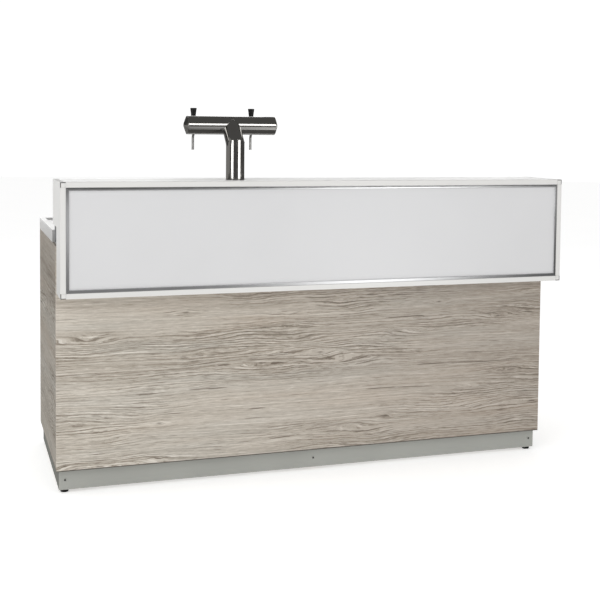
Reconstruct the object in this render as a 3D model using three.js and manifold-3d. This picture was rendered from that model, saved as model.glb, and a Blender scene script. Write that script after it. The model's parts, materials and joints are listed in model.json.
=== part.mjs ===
import * as THREE from 'three';
import { mergeVertices } from 'three/addons/utils/BufferGeometryUtils.js';
import Module from 'manifold-3d';

const wasm = await Module();
wasm.setup();

// ---- driving dimensions, millimetres -------------------------------------
const W = 2000;            // cabinet width
const D = 727;             // cabinet depth, front board face to rear edge
const GAP = 0.3;           // clearance between touching pieces
const BOARD = 18;          // board thickness of the carcass
const FLOOR_GAP = 12;      // plinth bottom above the floor
const WOOD_Z0 = 86;        // bottom of the wood boards
const WOOD_Z1 = 917.7;     // top of the wood boards
const TOP_Z = 966;         // rim of the steel worktop
const BAR_Z0 = 745.5;      // underside of the raised bar box
const BAR_Z1 = 1157;       // bar top
const BAR_Y0 = -148;       // front face of the bar box
const BAR_Y1 = 134;        // rear face of the bar box
const BAR_X0 = 2;          // bar box, left end
const BAR_X1 = 1998;       // bar box, right end
const SOFFIT_Z = 988;      // underside of the rear half of the bar box
const FRAME_W = 19;        // width of the white frame profile
const FRAME_D = 20;        // depth of the white frame profile
const TRIM_W = 11.5;       // width of the bright inner trim
const PLINTH_SIDE = 11;    // plinth set back at the ends
const PLINTH_FRONT = 20;   // plinth set back at the front
const PLINTH_T = 3;        // plinth sheet
const FEET_X = [33, 1000, 1967];
const COL_X = 663;         // tap column axis
const COL_Y = -20;
const TUBE_R = 35;         // column and crossbar radius
const TUBE_T = 2.5;        // tube wall
const MITRE_Z = 1294;      // height of the mitre in the column
const BAR_AXIS_Z = 1362;   // crossbar axis
const CROSS_LEN = 367;     // crossbar length over the end caps
const TAP_DX = 117;        // half distance between the taps
const TAP_BACK = 134;      // taps behind the crossbar axis
const KNOB_Z1 = 1430;      // top of the knobs
const SPOUT_Z0 = 1266.5;   // mouth of the spouts
const CY = (BAR_Y0 + D) / 2;

// ---- finishes ------------------------------------------------------------
const FINISH = {
  wood: [0xb5aa9c, 0.62, 0.0],
  woodSide: [0xada294, 0.62, 0.0],
  board: [0xcfcac2, 0.6, 0.0],
  plinth: [0x989893, 0.5, 0.1],
  white: [0xe2e1dc, 0.4, 0.0],
  panel: [0xdcdcdd, 0.3, 0.0],
  chrome: [0xd6d8da, 0.08, 1.0],
  steel: [0xb9bbb9, 0.22, 1.0],
  black: [0x141414, 0.5, 0.0],
  screw: [0x4a4a48, 0.4, 0.8],
  bearer: [0x8d8270, 0.8, 0.0],
  rail: [0x7f8081, 0.45, 0.7],
};

const root = new THREE.Group();
root.name = 'bar_counter';
root.position.set(-W / 2, -CY, 0);

function put(name, geometry, finish, parent = root) {
  const [color, roughness, metalness] = FINISH[finish];
  const mesh = new THREE.Mesh(geometry, new THREE.MeshStandardMaterial({ color, roughness, metalness }));
  mesh.name = name;
  parent.add(mesh);
  return mesh;
}

// ---- shape helpers -------------------------------------------------------
function block(x0, x1, y0, y1, z0, z1) {
  const g = new THREE.BoxGeometry(x1 - x0, y1 - y0, z1 - z0);
  g.translate((x0 + x1) / 2, (y0 + y1) / 2, (z0 + z1) / 2);
  return g;
}
function rod(x, y, z, r, len, axis = 'z', seg = 24, r2 = r) {
  // starts at x,y,z and runs len along the axis
  const g = new THREE.CylinderGeometry(r2, r, len, seg);
  g.translate(0, len / 2, 0);
  if (axis === 'z') g.rotateX(Math.PI / 2);
  if (axis === 'x') g.rotateZ(-Math.PI / 2);
  g.translate(x, y, z);
  return g;
}
function lathe(pts, x, y, z, axis = 'z', seg = 32) {
  const g = new THREE.LatheGeometry(pts.map(([r, h]) => new THREE.Vector2(r, h)), seg);
  if (axis === 'z') g.rotateX(Math.PI / 2);
  if (axis === 'x') g.rotateZ(-Math.PI / 2);
  g.translate(x, y, z);
  return g;
}
function solid(g) {
  let h = g.clone();
  h.deleteAttribute('normal');
  h.deleteAttribute('uv');
  h = mergeVertices(h, 1e-4);
  const idx = h.index.array;
  const keep = [];
  for (let i = 0; i < idx.length; i += 3) {
    if (idx[i] !== idx[i + 1] && idx[i + 1] !== idx[i + 2] && idx[i] !== idx[i + 2]) {
      keep.push(idx[i], idx[i + 1], idx[i + 2]);
    }
  }
  const pos = h.attributes.position;
  const a = new THREE.Vector3(), b = new THREE.Vector3(), c = new THREE.Vector3();
  let volume = 0;
  for (let i = 0; i < keep.length; i += 3) {
    a.fromBufferAttribute(pos, keep[i]);
    b.fromBufferAttribute(pos, keep[i + 1]);
    c.fromBufferAttribute(pos, keep[i + 2]);
    volume += a.dot(b.cross(c));
  }
  if (volume < 0) {
    for (let i = 0; i < keep.length; i += 3) [keep[i + 1], keep[i + 2]] = [keep[i + 2], keep[i + 1]];
  }
  const mesh = new wasm.Mesh({
    numProp: 3,
    vertProperties: new Float32Array(h.attributes.position.array),
    triVerts: new Uint32Array(keep),
  });
  mesh.merge();
  return new wasm.Manifold(mesh);
}
function shape(m) {
  const out = m.getMesh();
  const g = new THREE.BufferGeometry();
  g.setAttribute('position', new THREE.BufferAttribute(new Float32Array(out.vertProperties), 3));
  g.setIndex(new THREE.BufferAttribute(new Uint32Array(out.triVerts), 1));
  g.computeVertexNormals();
  return g;
}
function cut(base, ...tools) {
  let m = solid(base);
  for (const t of tools) m = m.subtract(solid(t));
  return shape(m);
}
function join(...parts) {
  let m = solid(parts[0]);
  for (const p of parts.slice(1)) m = m.add(solid(p));
  return shape(m);
}
// outline in the first two coordinates of the named plane, run along the third
function prism(plane, pts, from, to, holes = []) {
  const s = new THREE.Shape(pts.map(([a, b]) => new THREE.Vector2(a, b)));
  for (const h of holes) s.holes.push(new THREE.Path(h.map(([a, b]) => new THREE.Vector2(a, b))));
  const g = new THREE.ExtrudeGeometry(s, { depth: to - from, bevelEnabled: false });
  if (plane === 'yz') {          // outline (y,z), run along x
    g.applyMatrix4(new THREE.Matrix4().makeBasis(
      new THREE.Vector3(0, 1, 0), new THREE.Vector3(0, 0, 1), new THREE.Vector3(1, 0, 0)));
    g.translate(from, 0, 0);
  } else if (plane === 'xz') {   // outline (x,z), run along y
    g.applyMatrix4(new THREE.Matrix4().makeBasis(
      new THREE.Vector3(1, 0, 0), new THREE.Vector3(0, 0, 1), new THREE.Vector3(0, -1, 0)));
    g.translate(0, to, 0);
  } else {                       // outline (x,y), run along z
    g.translate(0, 0, from);
  }
  return g;
}
const rect = (a0, a1, b0, b1) => [[a0, b0], [a1, b0], [a1, b1], [a0, b1]];
const hole = (a0, a1, b0, b1) => [[a0, b0], [a0, b1], [a1, b1], [a1, b0]];

// ---- levelling feet, bearers and plinth -----------------------------------
const PLINTH_Z1 = WOOD_Z0 - GAP;
const BEARER_Z0 = 30;
const BEARER_Y0 = PLINTH_FRONT + PLINTH_T + GAP;
const REAR_PLINTH_Y1 = D - 12;
const BEARER_Y1 = REAR_PLINTH_Y1 - PLINTH_T - GAP;
const FOOT_Y = { front: 42, frontMid: 120, rear: 672 };
const STUD_R = 5;
const SCREW_Z = 49;

function foot(name, x, y) {
  put(name, lathe([[0, 0], [14.2, 0], [15, 0.9], [15, 6.5], [13.6, 9], [8.2, 10.5], [8.2, 16], [STUD_R, 16.6],
    [STUD_R, 59], [4, 60], [0, 60]], x, y, 0, 'z', 24), 'black');
}
const bearerNames = ['left', 'middle', 'right'];
FEET_X.forEach((x, i) => {
  const yf = i === 1 ? FOOT_Y.frontMid : FOOT_Y.front;
  put(`base_bearer_${bearerNames[i]}`, cut(
    block(x - 20 + (i === 0 ? 1.5 : 0), x + 20 - (i === 2 ? 1.5 : 0), BEARER_Y0, BEARER_Y1, BEARER_Z0, PLINTH_Z1),
    rod(x, yf, BEARER_Z0 - 1, STUD_R + GAP, 33, 'z', 24),
    rod(x, FOOT_Y.rear, BEARER_Z0 - 1, STUD_R + GAP, 33, 'z', 24),
    rod(x, BEARER_Y0 - 1, SCREW_Z, 2.3, 9, 'y', 16)), 'bearer');
  foot(`levelling_foot_front_${bearerNames[i]}`, x, yf);
  foot(`levelling_foot_rear_${bearerNames[i]}`, x, FOOT_Y.rear);
  // pan head screw through the plinth sheet into the bearer
  put(`plinth_screw_${bearerNames[i]}`, lathe([[0, 0], [2.6, 0], [4.6, 0.9], [4.8, 2.2], [2, 2.2], [2, 12], [0, 13]],
    x, PLINTH_FRONT - 2.5, SCREW_Z, 'y', 16), 'screw');
});
put('plinth_front', cut(
  block(PLINTH_SIDE, W - PLINTH_SIDE, PLINTH_FRONT, PLINTH_FRONT + PLINTH_T, FLOOR_GAP, PLINTH_Z1),
  ...FEET_X.map((x) => rod(x, PLINTH_FRONT - 1, SCREW_Z, 2.3, PLINTH_T + 2, 'y', 16))), 'plinth');
put('plinth_left', block(PLINTH_SIDE, PLINTH_SIDE + PLINTH_T, BEARER_Y0, BEARER_Y1, FLOOR_GAP, PLINTH_Z1), 'plinth');
put('plinth_right', block(W - PLINTH_SIDE - PLINTH_T, W - PLINTH_SIDE, BEARER_Y0, BEARER_Y1, FLOOR_GAP, PLINTH_Z1), 'plinth');
put('plinth_rear', block(PLINTH_SIDE, W - PLINTH_SIDE, REAR_PLINTH_Y1 - PLINTH_T, REAR_PLINTH_Y1, FLOOR_GAP, PLINTH_Z1), 'plinth');

// ---- carcass ---------------------------------------------------------------
const INNER_Y0 = BOARD + GAP;
const FLOOR_Z1 = WOOD_Z0 + BOARD;
const PART_T = 25;
const PART_X0 = W / 2 - PART_T / 2;
const PART_X1 = W / 2 + PART_T / 2;
const DADO = 6;
const SHELF_T = 18;
const SHELF_Z = [360, 626];
const SHELF_Y0 = 40;
const SHELF_Y1 = D - 14;
const REAR_RAIL_Z0 = 862;
const REAR_RAIL_Y0 = D - BOARD;
const FRONT_RAIL_Y1 = 122;
const FRONT_RAIL_Z0 = WOOD_Z1 - BOARD;

const dado = (x0, x1) => SHELF_Z.map((z) => block(x0, x1, SHELF_Y0 - GAP, D + 1, z - GAP, z + SHELF_T + GAP));
put('front_panel', block(0, W, 0, BOARD, WOOD_Z0, WOOD_Z1), 'wood');
put('side_panel_left', cut(block(0, BOARD, INNER_Y0, D, WOOD_Z0, WOOD_Z1), ...dado(BOARD - DADO, BOARD + 1)), 'woodSide');
put('side_panel_right', cut(block(W - BOARD, W, INNER_Y0, D, WOOD_Z0, WOOD_Z1), ...dado(W - BOARD - 1, W - BOARD + DADO)), 'woodSide');
put('bottom_panel', block(BOARD + GAP, W - BOARD - GAP, INNER_Y0, D, WOOD_Z0, FLOOR_Z1), 'board');
put('centre_partition', cut(block(PART_X0, PART_X1, INNER_Y0, D, FLOOR_Z1 + GAP, WOOD_Z1),
  ...dado(PART_X0 - 1, PART_X0 + DADO), ...dado(PART_X1 - DADO, PART_X1 + 1),
  block(PART_X0 - 1, PART_X1 + 1, INNER_Y0 - 1, FRONT_RAIL_Y1 + GAP, FRONT_RAIL_Z0 - GAP, WOOD_Z1 + 1),
  block(PART_X0 - 1, PART_X1 + 1, REAR_RAIL_Y0 - GAP, D + 1, REAR_RAIL_Z0 - GAP, WOOD_Z1 + 1)), 'board');
put('top_rail_front', block(BOARD + GAP, W - BOARD - GAP, INNER_Y0, FRONT_RAIL_Y1, FRONT_RAIL_Z0, WOOD_Z1), 'board');
put('top_rail_rear', block(BOARD + GAP, W - BOARD - GAP, REAR_RAIL_Y0, D, REAR_RAIL_Z0, WOOD_Z1), 'board');
SHELF_Z.forEach((z, i) => {
  const lv = i === 0 ? 'lower' : 'upper';
  put(`shelf_left_${lv}`, block(BOARD - DADO + GAP, PART_X0 + DADO - GAP, SHELF_Y0, SHELF_Y1, z, z + SHELF_T), 'board');
  put(`shelf_right_${lv}`, block(PART_X1 - DADO + GAP, W - BOARD + DADO - GAP, SHELF_Y0, SHELF_Y1, z, z + SHELF_T), 'board');
});

// ---- steel worktop with drip tray -----------------------------------------
const WT_Y0 = 141.5;
const WT_Z0 = WOOD_Z1 + GAP;
const WT_T = 2;
const RIM = 22;
const PAN_Z = TOP_Z - 8;
const TRAY = { x0: COL_X - 188, x1: COL_X + 188, y0: WT_Y0 + RIM + 12, y1: WT_Y0 + RIM + 148 };
put('worktop_sheet', cut(block(0, W, WT_Y0, D, WT_Z0, TOP_Z),
  block(RIM, W - RIM, WT_Y0 + RIM, D - RIM, PAN_Z, TOP_Z + 1),
  block(WT_T, W - WT_T, WT_Y0 + WT_T, D - WT_T, WT_Z0 - 1, PAN_Z - WT_T),
  block(TRAY.x0 - 1, TRAY.x1 + 1, TRAY.y0 - 1, TRAY.y1 + 1, WT_Z0 - 1, TOP_Z + 1)), 'steel');
put('worktop_core', cut(block(WT_T + GAP, W - WT_T - GAP, WT_Y0 + WT_T + GAP, D - WT_T - GAP, WT_Z0, PAN_Z - WT_T - GAP),
  block(TRAY.x0 - 4, TRAY.x1 + 4, TRAY.y0 - 4, TRAY.y1 + 4, WT_Z0 - 1, TOP_Z)), 'bearer');
const LEDGE_Z = 952;
const TRAY_Z0 = 922;
put('drip_tray', shape(
  solid(block(TRAY.x0, TRAY.x1, TRAY.y0, TRAY.y1, TRAY_Z0, PAN_Z + 1.8))
    .add(solid(block(TRAY.x0 - 8, TRAY.x1 + 8, TRAY.y0 - 8, TRAY.y1 + 8, PAN_Z + GAP, PAN_Z + 1.8)))
    .subtract(solid(block(TRAY.x0 + 2, TRAY.x1 - 2, TRAY.y0 + 2, TRAY.y1 - 2, LEDGE_Z, TOP_Z)))
    .subtract(solid(block(TRAY.x0 + 8, TRAY.x1 - 8, TRAY.y0 + 8, TRAY.y1 - 8, TRAY_Z0 + 2, TOP_Z)))), 'steel');
{
  const gx0 = TRAY.x0 + 2.5, gx1 = TRAY.x1 - 2.5, gy0 = TRAY.y0 + 2.5, gy1 = TRAY.y1 - 2.5;
  const slots = [];
  const n = 17, pitch = 20.6;
  for (let i = 0; i < n; i += 1) {
    const x = COL_X + (i - (n - 1) / 2) * pitch;
    for (const [a, b] of [[gy0 + 12, (gy0 + gy1) / 2 - 5], [(gy0 + gy1) / 2 + 5, gy1 - 12]]) {
      slots.push(block(x - 3.5, x + 3.5, a, b, LEDGE_Z - 2, LEDGE_Z + 6));
    }
  }
  put('drip_grid', cut(block(gx0, gx1, gy0, gy1, LEDGE_Z + GAP, LEDGE_Z + 3.3), ...slots), 'steel');
}

// ---- raised bar box ---------------------------------------------------------
const FR_Y1 = BAR_Y0 + FRAME_D;          // back of the frame profiles
const BODY_Y0 = FR_Y1 + GAP;             // front of the box boards
const CHEEK_X0 = [BAR_X0, BAR_X1 - BOARD];
['left', 'right'].forEach((side, i) => {
  put(`bar_cheek_${side}`, prism('yz', [[BODY_Y0, BAR_Z0], [-GAP, BAR_Z0], [-GAP, SOFFIT_Z], [BAR_Y1, SOFFIT_Z],
    [BAR_Y1, BAR_Z1], [BODY_Y0, BAR_Z1]], CHEEK_X0[i], CHEEK_X0[i] + BOARD), 'white');
});
const IN_X0 = BAR_X0 + BOARD + GAP;
const IN_X1 = BAR_X1 - BOARD - GAP;
const BAR_TOP_Z0 = BAR_Z1 - BOARD;
const TAIL_R = 25;
put('bar_top', cut(block(IN_X0, IN_X1, BODY_Y0, BAR_Y1, BAR_TOP_Z0, BAR_Z1),
  rod(COL_X, COL_Y, BAR_TOP_Z0 - 1, TAIL_R + GAP, BOARD + 2, 'z', 32)), 'white');
put('bar_bottom', block(IN_X0, IN_X1, BODY_Y0, -GAP, BAR_Z0, BAR_Z0 + BOARD), 'white');
const COVER_T = 12;
put('bar_rear_cover', prism('yz', [[-GAP, SOFFIT_Z], [BAR_Y1, SOFFIT_Z], [BAR_Y1, BAR_TOP_Z0 - GAP],
  [BAR_Y1 - COVER_T, BAR_TOP_Z0 - GAP], [BAR_Y1 - COVER_T, SOFFIT_Z + COVER_T], [-GAP, SOFFIT_Z + COVER_T]], IN_X0, IN_X1), 'white');

// front frame: hollow profiles plugged onto corner pieces
const PW = 1.6;                           // profile wall
const LIP = 9;                            // lip behind the fascia panel
const CX0 = BAR_X0 + FRAME_W, CX1 = BAR_X1 - FRAME_W;
const CZ0 = BAR_Z0 + FRAME_W, CZ1 = BAR_Z1 - FRAME_W;
const LIP_Y0 = FR_Y1 - 3;
function horizontal(name, z0, z1, up) {
  const pts = up
    ? [[BAR_Y0, z0], [FR_Y1, z0], [FR_Y1, z1 + LIP], [LIP_Y0, z1 + LIP], [LIP_Y0, z1], [BAR_Y0, z1]]
    : [[BAR_Y0, z0], [LIP_Y0, z0], [LIP_Y0, z0 - LIP], [FR_Y1, z0 - LIP], [FR_Y1, z1], [BAR_Y0, z1]];
  put(name, prism('yz', pts, CX0 + GAP, CX1 - GAP, [hole(BAR_Y0 + PW, FR_Y1 - PW, z0 + PW, z1 - PW)]), 'white');
}
horizontal('frame_rail_bottom', BAR_Z0, CZ0, true);
horizontal('frame_rail_top', CZ1, BAR_Z1, false);
const upright = (name, x0, x1) => put(name, prism('xy', rect(x0, x1, BAR_Y0, FR_Y1), CZ0 + GAP, CZ1 - GAP,
  [hole(x0 + PW, x1 - PW, BAR_Y0 + PW, FR_Y1 - PW)]), 'white');
upright('frame_rail_left', BAR_X0, CX0);
upright('frame_rail_right', CX1, BAR_X1);
const SPIG = 26, SG = PW + GAP;
for (const [name, x0, x1, z0, z1, sx, sz] of [
  ['frame_corner_bottom_left', BAR_X0, CX0, BAR_Z0, CZ0, 1, 1],
  ['frame_corner_bottom_right', CX1, BAR_X1, BAR_Z0, CZ0, -1, 1],
  ['frame_corner_top_left', BAR_X0, CX0, CZ1, BAR_Z1, 1, -1],
  ['frame_corner_top_right', CX1, BAR_X1, CZ1, BAR_Z1, -1, -1]]) {
  const xa = sx > 0 ? x1 - 2 : x0 - SPIG, xb = sx > 0 ? x1 + SPIG : x0 + 2;
  const za = sz > 0 ? z1 - 2 : z0 - SPIG, zb = sz > 0 ? z1 + SPIG : z0 + 2;
  put(name, join(block(x0, x1, BAR_Y0, FR_Y1, z0, z1),
    block(xa, xb, BAR_Y0 + SG, FR_Y1 - SG, z0 + SG, z1 - SG),
    block(x0 + SG, x1 - SG, BAR_Y0 + SG, FR_Y1 - SG, za, zb)), 'white');
}
// fascia panel held between the lips and the mitred trim
const TRIM_Y0 = BAR_Y0 + 0.4, TRIM_Y1 = BAR_Y0 + 4;
const PAN_Y0 = TRIM_Y1 + GAP, PAN_Y1 = LIP_Y0 - GAP;
put('fascia_panel', block(CX0 + 0.5, CX1 - 0.5, PAN_Y0, PAN_Y1, CZ0 + 0.5, CZ1 - 0.5), 'panel');
{
  const a0 = CX0 + GAP, a1 = CX1 - GAP, b0 = CZ0 + GAP, b1 = CZ1 - GAP, t = TRIM_W - GAP, g = 0.2;
  put('trim_bottom', prism('xz', [[a0 + g, b0], [a1 - g, b0], [a1 - t - g, b0 + t], [a0 + t + g, b0 + t]], TRIM_Y0, TRIM_Y1), 'chrome');
  put('trim_top', prism('xz', [[a0 + t + g, b1 - t], [a1 - t - g, b1 - t], [a1 - g, b1], [a0 + g, b1]], TRIM_Y0, TRIM_Y1), 'chrome');
  put('trim_left', prism('xz', [[a0, b0 + g], [a0 + t, b0 + t + g], [a0 + t, b1 - t - g], [a0, b1 - g]], TRIM_Y0, TRIM_Y1), 'chrome');
  put('trim_right', prism('xz', [[a1, b1 - g], [a1 - t, b1 - t - g], [a1 - t, b0 + t + g], [a1, b0 + g]], TRIM_Y0, TRIM_Y1), 'chrome');
}
// open tube that carries the rear half of the box on the carcass
const RAIL_Y0 = 10, RAIL_Y1 = 130, RAIL_T = 4;
put('bar_support_rail', prism('yz', rect(RAIL_Y0, RAIL_Y1, WT_Z0, SOFFIT_Z - GAP), 8, W - 8,
  [hole(RAIL_Y0 + RAIL_T, RAIL_Y1 - RAIL_T, WT_Z0 + RAIL_T, SOFFIT_Z - GAP - RAIL_T)]), 'rail');

// ---- tap column --------------------------------------------------------------
const NECK = BAR_AXIS_Z - MITRE_Z;         // rise and setback of the 45 degree neck
const CROSS_Y = COL_Y + NECK;
function pipework(r, trim, bottom, tailR) {
  // upright and neck cut on the mitre plane, crossbar with low conical caps
  const big = 400;
  const half = (up) => {
    const g = new THREE.BoxGeometry(big, big, big);
    g.translate(0, 0, up ? big / 2 : -big / 2);
    g.rotateX(-Math.PI / 8);
    g.translate(COL_X, COL_Y, MITRE_Z + (up ? 0.05 : 0));
    return solid(g);
  };
  const up = solid(rod(COL_X, COL_Y, bottom, r, MITRE_Z + 60 - bottom, 'z', 48)).subtract(half(true));
  const slant = rod(0, 0, -60, r, NECK * Math.SQRT2 + 60, 'z', 48);
  slant.rotateX(-Math.PI / 4);
  slant.translate(COL_X, COL_Y, MITRE_Z);
  const neck = solid(slant).subtract(half(false));
  const h = CROSS_LEN / 2 - trim;
  const c = trim > 0 ? 0.5 : 11.4, flat = trim > 0 ? r - 0.55 : 9;
  const cross = solid(lathe([[0, -h], [flat, -h], [r, -h + c], [r, h - c], [flat, h], [0, h]],
    COL_X, CROSS_Y, BAR_AXIS_Z, 'x', 48));
  const tail = solid(rod(COL_X, COL_Y, BAR_TOP_Z0 - 22 - (trim > 0 ? 2 : 0), tailR, bottom - BAR_TOP_Z0 + 24 + (trim > 0 ? 3 : 0), 'z', 32));
  return up.add(neck).add(cross).add(tail);
}
const TAP_X = [COL_X - TAP_DX, COL_X + TAP_DX];
const TAP_Y = CROSS_Y + TAP_BACK;
const SHANK_R = 11;
{
  let m = pipework(TUBE_R, 0, BAR_Z1 + GAP, TAIL_R).subtract(pipework(TUBE_R - TUBE_T, 13, BAR_Z1 + 4, TAIL_R - 4));
  for (const x of TAP_X) m = m.subtract(solid(rod(x, CROSS_Y + 10, BAR_AXIS_Z, SHANK_R + GAP, TUBE_R, 'y', 24)));
  put('tap_column', shape(m), 'steel');
}
put('column_lock_nut', lathe([[TAIL_R + GAP, 0], [38, 0], [38, 12], [TAIL_R + GAP, 12], [TAIL_R + GAP, 0]],
  COL_X, COL_Y, BAR_TOP_Z0 - GAP - 12, 'z', 32), 'screw');

// ---- taps -----------------------------------------------------------------
const PIVOT_Z = BAR_AXIS_Z + 15;
const EAR_Z = PIVOT_Z + 8;
const LEVER_HALF = 3.6;
['left', 'right'].forEach((side, i) => {
  const x = TAP_X[i];
  // shank, collar against the crossbar, barrel and forked head
  const wall = CROSS_Y + TUBE_R;
  const head = lathe([[0, -24], [9, -24], [12, -20], [13.5, -12], [14, 0], [14, EAR_Z - BAR_AXIS_Z - 1.5], [12.5, EAR_Z - BAR_AXIS_Z], [0, EAR_Z - BAR_AXIS_Z]],
    x, TAP_Y, BAR_AXIS_Z, 'z', 28);
  const barrel = lathe([[0, wall - 20 - TAP_Y], [SHANK_R, wall - 20 - TAP_Y], [SHANK_R, wall + 1.4 - TAP_Y], [16, wall + 1.4 - TAP_Y], [16, wall + 9 - TAP_Y],
    [13, wall + 12 - TAP_Y], [11, wall + 30 - TAP_Y], [11, 0], [0, 0]], x, TAP_Y, BAR_AXIS_Z, 'y', 28);
  let body = solid(barrel).add(solid(head))
    .subtract(solid(block(x - LEVER_HALF - GAP, x + LEVER_HALF + GAP, TAP_Y - 20, TAP_Y + 20, PIVOT_Z - 6.6, EAR_Z + 5)))
    .subtract(solid(rod(x, TAP_Y, BAR_AXIS_Z - 30, 5 + GAP, 22, 'z', 20)));
  put(`tap_body_${side}`, shape(body), 'steel');
  // lever with its eye between the ears of the head
  const eye = rod(x - LEVER_HALF, TAP_Y, PIVOT_Z, 6, 2 * LEVER_HALF, 'x', 24);
  const stem = rod(x, TAP_Y, PIVOT_Z + 1, 3.5, 33, 'z', 16);
  put(`tap_lever_${side}`, join(eye, stem), 'chrome');
  const kz = PIVOT_Z + 15;
  put(`tap_knob_${side}`, cut(lathe([[0, 0], [7.6, 0], [8.6, 1.2], [9.8, 12], [12.3, KNOB_Z1 - kz - 5], [12.6, KNOB_Z1 - kz - 2.4], [11.0, KNOB_Z1 - kz], [0, KNOB_Z1 - kz]],
    x, TAP_Y, kz, 'z', 28), rod(x, TAP_Y, kz - 1, 3.5 + GAP, 21, 'z', 16)), 'black');
  // bent spout, an open tube
  const path = new THREE.CurvePath();
  const p = [[0, BAR_AXIS_Z - 10], [0, BAR_AXIS_Z - 30], [9, BAR_AXIS_Z - 50], [9, SPOUT_Z0]]
    .map(([y, z]) => new THREE.Vector3(x, TAP_Y + y, z));
  path.add(new THREE.LineCurve3(p[0], p[1]));
  path.add(new THREE.CubicBezierCurve3(p[1], new THREE.Vector3(x, TAP_Y, p[1].z - 10), new THREE.Vector3(x, TAP_Y + 9, p[2].z + 10), p[2]));
  path.add(new THREE.LineCurve3(p[2], p[3]));
  const ring = new THREE.Shape();
  ring.absarc(0, 0, 5, 0, Math.PI * 2, false);
  const bore = new THREE.Path();
  bore.absarc(0, 0, 3.8, 0, Math.PI * 2, true);
  ring.holes.push(bore);
  put(`tap_spout_${side}`, new THREE.ExtrudeGeometry(ring, { steps: 16, curveSegments: 9, bevelEnabled: false, extrudePath: path }), 'steel');
});

export default root;
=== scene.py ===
import json
import math

import bmesh
import bpy
from mathutils import Matrix, Vector

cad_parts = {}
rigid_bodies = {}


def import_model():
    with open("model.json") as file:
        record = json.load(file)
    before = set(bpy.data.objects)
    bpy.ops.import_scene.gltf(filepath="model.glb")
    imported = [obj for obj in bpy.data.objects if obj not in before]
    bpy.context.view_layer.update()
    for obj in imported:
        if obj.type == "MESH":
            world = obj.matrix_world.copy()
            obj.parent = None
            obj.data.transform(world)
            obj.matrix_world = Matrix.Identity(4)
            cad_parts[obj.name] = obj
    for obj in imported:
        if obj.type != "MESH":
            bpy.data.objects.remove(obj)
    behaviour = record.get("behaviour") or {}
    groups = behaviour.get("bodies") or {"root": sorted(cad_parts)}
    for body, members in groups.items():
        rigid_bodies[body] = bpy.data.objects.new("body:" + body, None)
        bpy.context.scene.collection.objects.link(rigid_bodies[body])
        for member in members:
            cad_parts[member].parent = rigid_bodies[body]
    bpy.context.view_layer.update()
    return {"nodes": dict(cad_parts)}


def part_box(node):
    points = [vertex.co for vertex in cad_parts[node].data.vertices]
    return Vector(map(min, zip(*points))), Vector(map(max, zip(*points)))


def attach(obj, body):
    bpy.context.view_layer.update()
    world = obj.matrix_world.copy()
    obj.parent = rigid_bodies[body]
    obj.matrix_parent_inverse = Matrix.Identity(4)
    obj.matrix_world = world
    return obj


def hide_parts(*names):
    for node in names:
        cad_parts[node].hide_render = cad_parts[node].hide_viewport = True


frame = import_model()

NODES = frame["nodes"]


# ---- shared frame: drawing coordinates in millimetres to the part's metres -----
def P(x, y, z):
    return Vector(((x - 1000.0) / 1000.0, (y - 289.5) / 1000.0, z / 1000.0))


COL_X, COL_Y = 663.0, -20.0
TUBE_R = 35.0
BAR_Z1 = 1157.0
MITRE_Z = 1294.0
CROSS_Z = 1362.0
CROSS_Y = COL_Y + CROSS_Z - MITRE_Z
CROSS_LEN = 367.0
TAP_X = {"left": COL_X - 117.0, "right": COL_X + 117.0}
TAP_Y = CROSS_Y + 134.0
PIVOT_Z = CROSS_Z + 15.0
EAR_Z = PIVOT_Z + 8.0


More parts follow.
